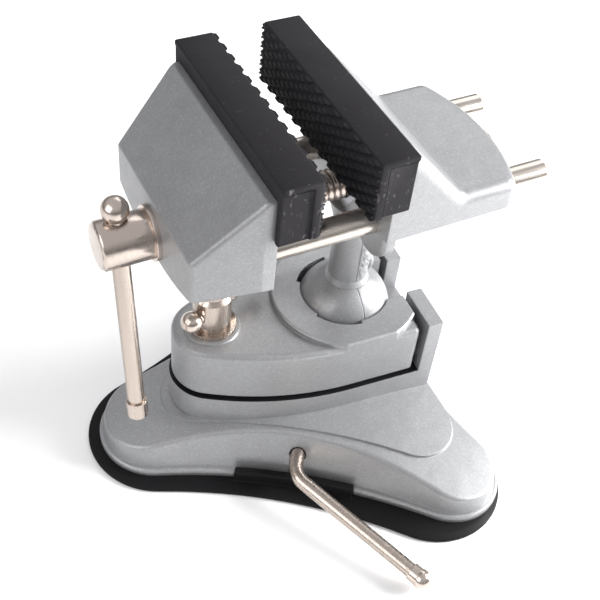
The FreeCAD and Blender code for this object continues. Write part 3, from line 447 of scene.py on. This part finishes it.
def plated(name, colour, rough_low, rough_high, stretch):
    """Plated metal with fine lines from the tool, drawn out where the stretch is small."""
    material, tree, shader, place = blank_material(name)
    dull = tuple(share * 0.90 for share in colour)
    tone = ramp_of(tree, noise_of(tree, place, 60), [(0.3, dull), (0.7, colour)])
    tree.links.new(tone, shader.inputs["Base Color"])
    lines = noise_of(tree, place, 900, 2, stretch)
    tree.links.new(range_of(tree, lines, rough_low, rough_high), shader.inputs["Roughness"])
    edges = soft_edge_of(tree, 0.3 * MM)
    tree.links.new(bump_of(tree, lines, 0.02 * MM, 0.25, edges), shader.inputs["Normal"])
    shader.inputs["Metallic"].default_value = 1.0
    return material


nickel_rod = plated("nickel_rod", (0.62, 0.565, 0.51), 0.16, 0.30, (0.05, 1, 1))
nickel_bar = plated("nickel_bar", (0.54, 0.465, 0.41), 0.18, 0.32, (1, 1, 0.05))
nickel_turned = plated("nickel_turned", (0.66, 0.57, 0.51), 0.16, 0.28, (1, 0.3, 0.3))
finish_of(nickel_bar, "suction_lever")
finish_of(nickel_turned, "lever_end_cap")

# Lifting works inside the base
# A small cam pinned on the lever's shaft lifts a bent yoke, which is riveted to a round
# plate on the pad. Pressed and turned steel with a dull zinc plate, and a dark clip.
zinc_plate = plated("zinc_plate", (0.50, 0.51, 0.53), 0.35, 0.5, (1, 1, 1))
spring_steel = plated("spring_steel", (0.20, 0.20, 0.21), 0.35, 0.5, (1, 1, 1))
finish_of(zinc_plate, "lift_cam", "cam_pin", "lift_plate", "lift_yoke", "yoke_rivets")
finish_of(spring_steel, "shaft_clip")

# Clamp plate and swivel ball
# The plate is die-cast and painted as the base is, with a turned land round the ball. The
# ball is cast with the neck's stud in it and painted with them.
finish_of(silver_paint, "clamp_plate")
finish_of(silver_paint_of("ball_paint", 1.5, 0.22 * MM), "swivel_ball")

# Clamp screw, washer and sliding bar
# Turned steel, nickel plated. The bar has a ball pressed on each end.
finish_of(nickel_turned, "clamp_bar", "clamp_bar_knobs")
finish_of(nickel_bar, "clamp_screw", "clamp_washer")

# Jaws
# Both are die-cast shells with ribs and bosses inside, painted silver outside. The
# moving jaw's sloping face is plain.
finish_of(silver_paint, "fixed_jaw", "moving_jaw")
finish_of(zinc_plate, "lead_nut", "rod_pins")
finish_of(spring_steel, "retaining_ring")

# Marks of the mould on the neck
# The halves of the mould met along the neck and left a thin fin on both sides, a coarse
# skin on the rear half and a stub where the metal ran in. All are painted over.


def raised_patch(name, turns, levels, proud, steps, rows, roughness):
    """A closed patch on the neck between two angles and two heights, standing proud of it."""
    shape = bmesh.new()
    low_turn, high_turn = (math.radians(turn) for turn in turns)
    sheets = []
    for raised in (True, False):
        sheet = []
        for row in range(rows + 1):
            height = levels[0] + (levels[1] - levels[0]) * row / rows
            line = []
            for step in range(steps + 1):
                angle = low_turn + (high_turn - low_turn) * step / steps
                out = neck_radius - patch_root
                if raised:
                    fade = math.sin(math.pi * step / steps) ** 0.5 * math.sin(math.pi * row / rows) ** 0.5
                    rough = noise.noise(Vector((angle * 9, height * 900, 0.5))) * roughness
                    out = neck_radius - patch_rim + (proud + rough) * fade
                line.append(shape.verts.new((out * math.cos(angle), out * math.sin(angle), height)))
            sheet.append(line)
        sheets.append(sheet)
    for sheet in sheets:
        for low_line, high_line in zip(sheet, sheet[1:]):
            for step in range(steps):
                shape.faces.new((low_line[step], low_line[step + 1], high_line[step + 1], high_line[step]))
    rim = [(0, step) for step in range(steps + 1)] + [(row, steps) for row in range(1, rows + 1)]
    rim += [(rows, step) for step in range(steps - 1, -1, -1)] + [(row, 0) for row in range(rows - 1, 0, -1)]
    outer, inner = ([sheet[row][step] for row, step in rim] for sheet in sheets)
    for place in range(len(rim)):
        shape.faces.new((outer[place - 1], outer[place], inner[place], inner[place - 1]))
    bmesh.ops.recalc_face_normals(shape, faces=shape.faces)
    piece = piece_of(shape, name)
    piece.data.shade_smooth()
    return piece


neck_radius = 6.4 * MM
patch_root = 0.15 * MM
patch_rim = 0.1 * MM
fin_levels = (60.9 * MM, 83.5 * MM)
coarse_paint = silver_paint_of("coarse_paint", 5)
for name, turns, levels, proud, steps, rows, roughness, paint in (
        ("mould_fin_near", (-92.5, -88.5), fin_levels, 0.42 * MM, 4, 40, 0.06 * MM, silver_paint),
        ("mould_fin_far", (88.5, 92.5), fin_levels, 0.42 * MM, 4, 40, 0.06 * MM, silver_paint),
        ("mould_coarse_skin", (-88, -20), (61 * MM, 80 * MM), 0.42 * MM, 48, 60, 0.42 * MM, coarse_paint),
        ("mould_stub", (-42, -14), (62.6 * MM, 69.2 * MM), 1.75 * MM, 14, 20, 0.1 * MM, coarse_paint)):
    piece = raised_patch(name, turns, levels, proud, steps, rows, roughness)
    piece.data.materials.append(paint)
    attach(piece, "head")

# Jaw caps
# Moulded charcoal rubber, pulled over the jaws. The gripping face is a knurl of flat
# diamonds, and the ends, which step in behind it, are scuffed.


def input_of(tree, name, kind, value):
    """A named input of a node tree, with its socket identifier."""
    socket = tree.interface.new_socket(name, in_out="INPUT", socket_type=kind)
    socket.default_value = value
    return socket.identifier


def coated(tree, geometry, finish, result):
    """The end of a tree: its copies made real, with their finish."""
    real = tree.nodes.new("GeometryNodeRealizeInstances")
    tree.links.new(geometry, real.inputs["Geometry"])
    coat = tree.nodes.new("GeometryNodeSetMaterial")
    tree.links.new(real.outputs["Geometry"], coat.inputs["Geometry"])
    tree.links.new(finish, coat.inputs["Material"])
    tree.links.new(coat.outputs["Geometry"], result["Geometry"])


def made_by(tree, names, values):
    """The shape that a tree makes with these values."""
    holder = bpy.data.objects.new(tree.name, bpy.data.meshes.new(tree.name))
    bpy.context.scene.collection.objects.link(holder)
    pattern = holder.modifiers.new(tree.name, "NODES")
    pattern.node_group = tree
    for name, value in values.items():
        pattern[names[name]] = value
    plain(holder)
    shape = bmesh.new()
    shape.from_mesh(holder.data)
    bpy.data.objects.remove(holder)
    return shape


def knurl_tree():
    """Rows of flat-topped diamonds in the XY plane, every second row half a step along."""
    tree = bpy.data.node_groups.new("diamond_knurl", "GeometryNodeTree")
    sizes = (("Face Length", 70 * MM), ("Face Height", 19 * MM), ("Diamond Length", 5.5 * MM),
             ("Diamond Height", 3.1 * MM), ("Groove", 0.6 * MM), ("Depth", 1 * MM))
    names = {name: input_of(tree, name, "NodeSocketFloat", value) for name, value in sizes}
    names["Rubber"] = input_of(tree, "Rubber", "NodeSocketMaterial", None)
    tree.interface.new_socket("Geometry", in_out="OUTPUT", socket_type="NodeSocketGeometry")
    given = tree.nodes.new("NodeGroupInput").outputs
    result = tree.nodes.new("NodeGroupOutput").inputs
    across = math_of(tree, "CEIL", math_of(tree, "DIVIDE", given["Face Length"], given["Diamond Length"]))
    rows = math_of(tree, "CEIL", math_of(tree, "DIVIDE", given["Face Height"], given["Diamond Height"]))
    both = tree.nodes.new("GeometryNodeJoinGeometry")
    for shift in (0, 1):
        grid = tree.nodes.new("GeometryNodeMeshGrid")
        length = math_of(tree, "MULTIPLY", math_of(tree, "ADD", across, shift), given["Diamond Length"])
        height = math_of(tree, "MULTIPLY", math_of(tree, "ADD", rows, shift), given["Diamond Height"])
        tree.links.new(length, grid.inputs["Size X"])
        tree.links.new(height, grid.inputs["Size Y"])
        tree.links.new(math_of(tree, "ADD", across, 1 + shift), grid.inputs["Vertices X"])
        tree.links.new(math_of(tree, "ADD", rows, 1 + shift), grid.inputs["Vertices Y"])
        tree.links.new(grid.outputs["Mesh"], both.inputs["Geometry"])
    diamond = tree.nodes.new("GeometryNodeMeshCone")
    diamond.inputs["Vertices"].default_value = 4
    diamond.inputs["Radius Top"].default_value = 0.28
    diamond.inputs["Radius Bottom"].default_value = 0.5
    tree.links.new(given["Depth"], diamond.inputs["Depth"])
    size = tree.nodes.new("ShaderNodeCombineXYZ")
    top = math_of(tree, "SUBTRACT", given["Diamond Length"], given["Groove"])
    slant = math_of(tree, "DIVIDE", given["Diamond Height"], given["Diamond Length"])
    tree.links.new(top, size.inputs["X"])
    tree.links.new(math_of(tree, "MULTIPLY", top, slant), size.inputs["Y"])
    size.inputs["Z"].default_value = 1
    spread = tree.nodes.new("GeometryNodeInstanceOnPoints")
    tree.links.new(both.outputs["Geometry"], spread.inputs["Points"])
    tree.links.new(diamond.outputs["Mesh"], spread.inputs["Instance"])
    tree.links.new(size.outputs["Vector"], spread.inputs["Scale"])
    coated(tree, spread.outputs["Instances"], given["Rubber"], result)
    return tree, names


charcoal = (0.021, 0.0195, 0.022)
pale_dust = (0.075, 0.072, 0.078)
scuffed_end = 34.2 * MM
cap_rubber = rubber("cap_rubber", charcoal, pale_dust, 0.66, 0.82, 1400, scuffed_end)
knurl, knurl_inputs = knurl_tree()
knurl_depth = 0.9 * MM
knurl_root = 0.1 * MM
knurl_rim = 0.35 * MM
for node, body, toward in (("fixed_jaw_cap", "head", -1), ("moving_jaw_cap", "carriage", 1)):
    low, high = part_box(node)
    middle = (low + high) / 2
    length = high.y - low.y
    height = high.z - low.z
    face_x = high.x if toward > 0 else low.x

    def recessed(corner):
        if abs(corner.x - face_x) < 0.05 * MM:
            return Vector((corner.x - toward * knurl_depth, corner.y, corner.z))
        return corner

    cap = softened(node, node + "_rubber", 0.5 * MM, recessed)
    teeth = made_by(knurl, knurl_inputs, {
        "Face Length": length, "Face Height": height,
        "Depth": knurl_depth + knurl_root, "Rubber": cap_rubber})
    for way, half in (((1, 0, 0), length / 2), ((-1, 0, 0), length / 2),
                      ((0, 1, 0), height / 2), ((0, -1, 0), height / 2)):
        end_cut(teeth, Vector(way) * (half - knurl_rim), way)
    bmesh.ops.recalc_face_normals(teeth, faces=teeth.faces)
    root_x = face_x - toward * (knurl_depth + knurl_root)
    standing = Matrix(((0, 0, toward), (toward, 0, 0), (0, 1, 0))).to_4x4()
    teeth.transform(Matrix.Translation((root_x, middle.y, middle.z)) @ standing)
    teeth.from_mesh(cap.data)
    teeth.to_mesh(cap.data)
    teeth.free()
    smoothed(cap.data, 30)
    place_on(cap, body, "cap_rubber", cap_rubber, node)

# Guide rods
# Drawn steel bars with a bevelled end, nickel plated, with fine lines along them.
finish_of(nickel_rod, "guide_rod_near", "guide_rod_far")

# Lead screw and thrust washer
# Turned from steel bar with a round head, drilled for the bar, and threaded from behind
# the moving jaw to its end, then nickel plated.


def thread_tree():
    """A closed threaded rod along X from the origin, its end bevelled."""
    tree = bpy.data.node_groups.new("cut_thread", "GeometryNodeTree")
    sizes = (("Length", 50 * MM), ("Radius", 5 * MM), ("Depth", 0.6 * MM), ("Pitch", 2 * MM),
             ("End Bevel", 1 * MM))
    names = {name: input_of(tree, name, "NodeSocketFloat", value) for name, value in sizes}
    names["Plate"] = input_of(tree, "Plate", "NodeSocketMaterial", None)
    tree.interface.new_socket("Geometry", in_out="OUTPUT", socket_type="NodeSocketGeometry")
    given = tree.nodes.new("NodeGroupInput").outputs
    result = tree.nodes.new("NodeGroupOutput").inputs
    grid = tree.nodes.new("GeometryNodeMeshGrid")
    tree.links.new(given["Length"], grid.inputs["Size X"])
    grid.inputs["Size Y"].default_value = 1
    steps_along_a_turn = 8
    steps_round = 32
    turn_count = math_of(tree, "DIVIDE", given["Length"], given["Pitch"])
    steps = math_of(tree, "CEIL", math_of(tree, "MULTIPLY", turn_count, steps_along_a_turn))
    tree.links.new(steps, grid.inputs["Vertices X"])
    grid.inputs["Vertices Y"].default_value = steps_round + 1
    flat = parts_of(tree, tree.nodes.new("GeometryNodeInputPosition").outputs["Position"])
    along = math_of(tree, "ADD", flat["X"], math_of(tree, "DIVIDE", given["Length"], 2))
    turns = math_of(tree, "ADD", flat["Y"], 0.5)
    angle = math_of(tree, "MULTIPLY", turns, 2 * math.pi)
    travel = math_of(tree, "DIVIDE", along, given["Pitch"])
    phase = math_of(tree, "FRACT", math_of(tree, "SUBTRACT", travel, turns))
    ridge = math_of(tree, "ABSOLUTE", math_of(tree, "SUBTRACT", math_of(tree, "MULTIPLY", phase, 2), 1))
    cut = math_of(tree, "MINIMUM", math_of(tree, "MULTIPLY", ridge, 1.25), 1)
    radius = math_of(tree, "SUBTRACT", given["Radius"], math_of(tree, "MULTIPLY", cut, given["Depth"]))
    left = math_of(tree, "SUBTRACT", given["Length"], along)
    bevelled = math_of(tree, "ADD", math_of(tree, "SUBTRACT", given["Radius"], given["End Bevel"]), left)
    radius = math_of(tree, "MINIMUM", radius, bevelled)
    past_start = math_of(tree, "GREATER_THAN", along, 1e-7)
    before_end = math_of(tree, "GREATER_THAN", left, 1e-7)
    radius = math_of(tree, "MULTIPLY", radius, math_of(tree, "MULTIPLY", past_start, before_end))
    spot = tree.nodes.new("ShaderNodeCombineXYZ")
    tree.links.new(along, spot.inputs["X"])
    tree.links.new(math_of(tree, "MULTIPLY", radius, math_of(tree, "COSINE", angle)), spot.inputs["Y"])
    tree.links.new(math_of(tree, "MULTIPLY", radius, math_of(tree, "SINE", angle)), spot.inputs["Z"])
    shaped = tree.nodes.new("GeometryNodeSetPosition")
    tree.links.new(grid.outputs["Mesh"], shaped.inputs["Geometry"])
    tree.links.new(spot.outputs["Vector"], shaped.inputs["Position"])
    closed = tree.nodes.new("GeometryNodeMergeByDistance")
    closed.inputs["Distance"].default_value = 1e-6
    tree.links.new(shaped.outputs["Geometry"], closed.inputs["Geometry"])
    coated(tree, closed.outputs["Geometry"], given["Plate"], result)
    return tree, names


thread, thread_inputs = thread_tree()
screw_level = 101 * MM
thread_start = -42.5 * MM
thread_overlap = 0.3 * MM
low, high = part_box("lead_screw")
screw = merged("lead_screw")
end_cut(screw, (thread_start + thread_overlap, 0, screw_level), (1, 0, 0))
bmesh.ops.recalc_face_normals(screw, faces=screw.faces)
rod = made_by(thread, thread_inputs, {
    "Length": high.x - thread_start, "Radius": 5 * MM, "Depth": 0.62 * MM, "Pitch": 2 * MM,
    "Plate": nickel_turned})
bmesh.ops.recalc_face_normals(rod, faces=rod.faces)
rod.transform(Matrix.Translation((thread_start, 0, screw_level)))
put_into(screw, rod)
screw_piece = piece_of(screw, "lead_screw_turned")
smoothed(screw_piece.data, 40)
plain(screw_piece)
place_on(screw_piece, "screw", "plated_turned", nickel_turned, "lead_screw")
finish_of(nickel_turned, "thrust_washer")

# Main bar with its ball and collar
# Drawn steel, nickel plated, free to slide in the screw's head. The ball and the collar
# are pressed on its ends.
finish_of(nickel_bar, "main_bar", "main_bar_collar")
finish_of(nickel_turned, "main_bar_knob")
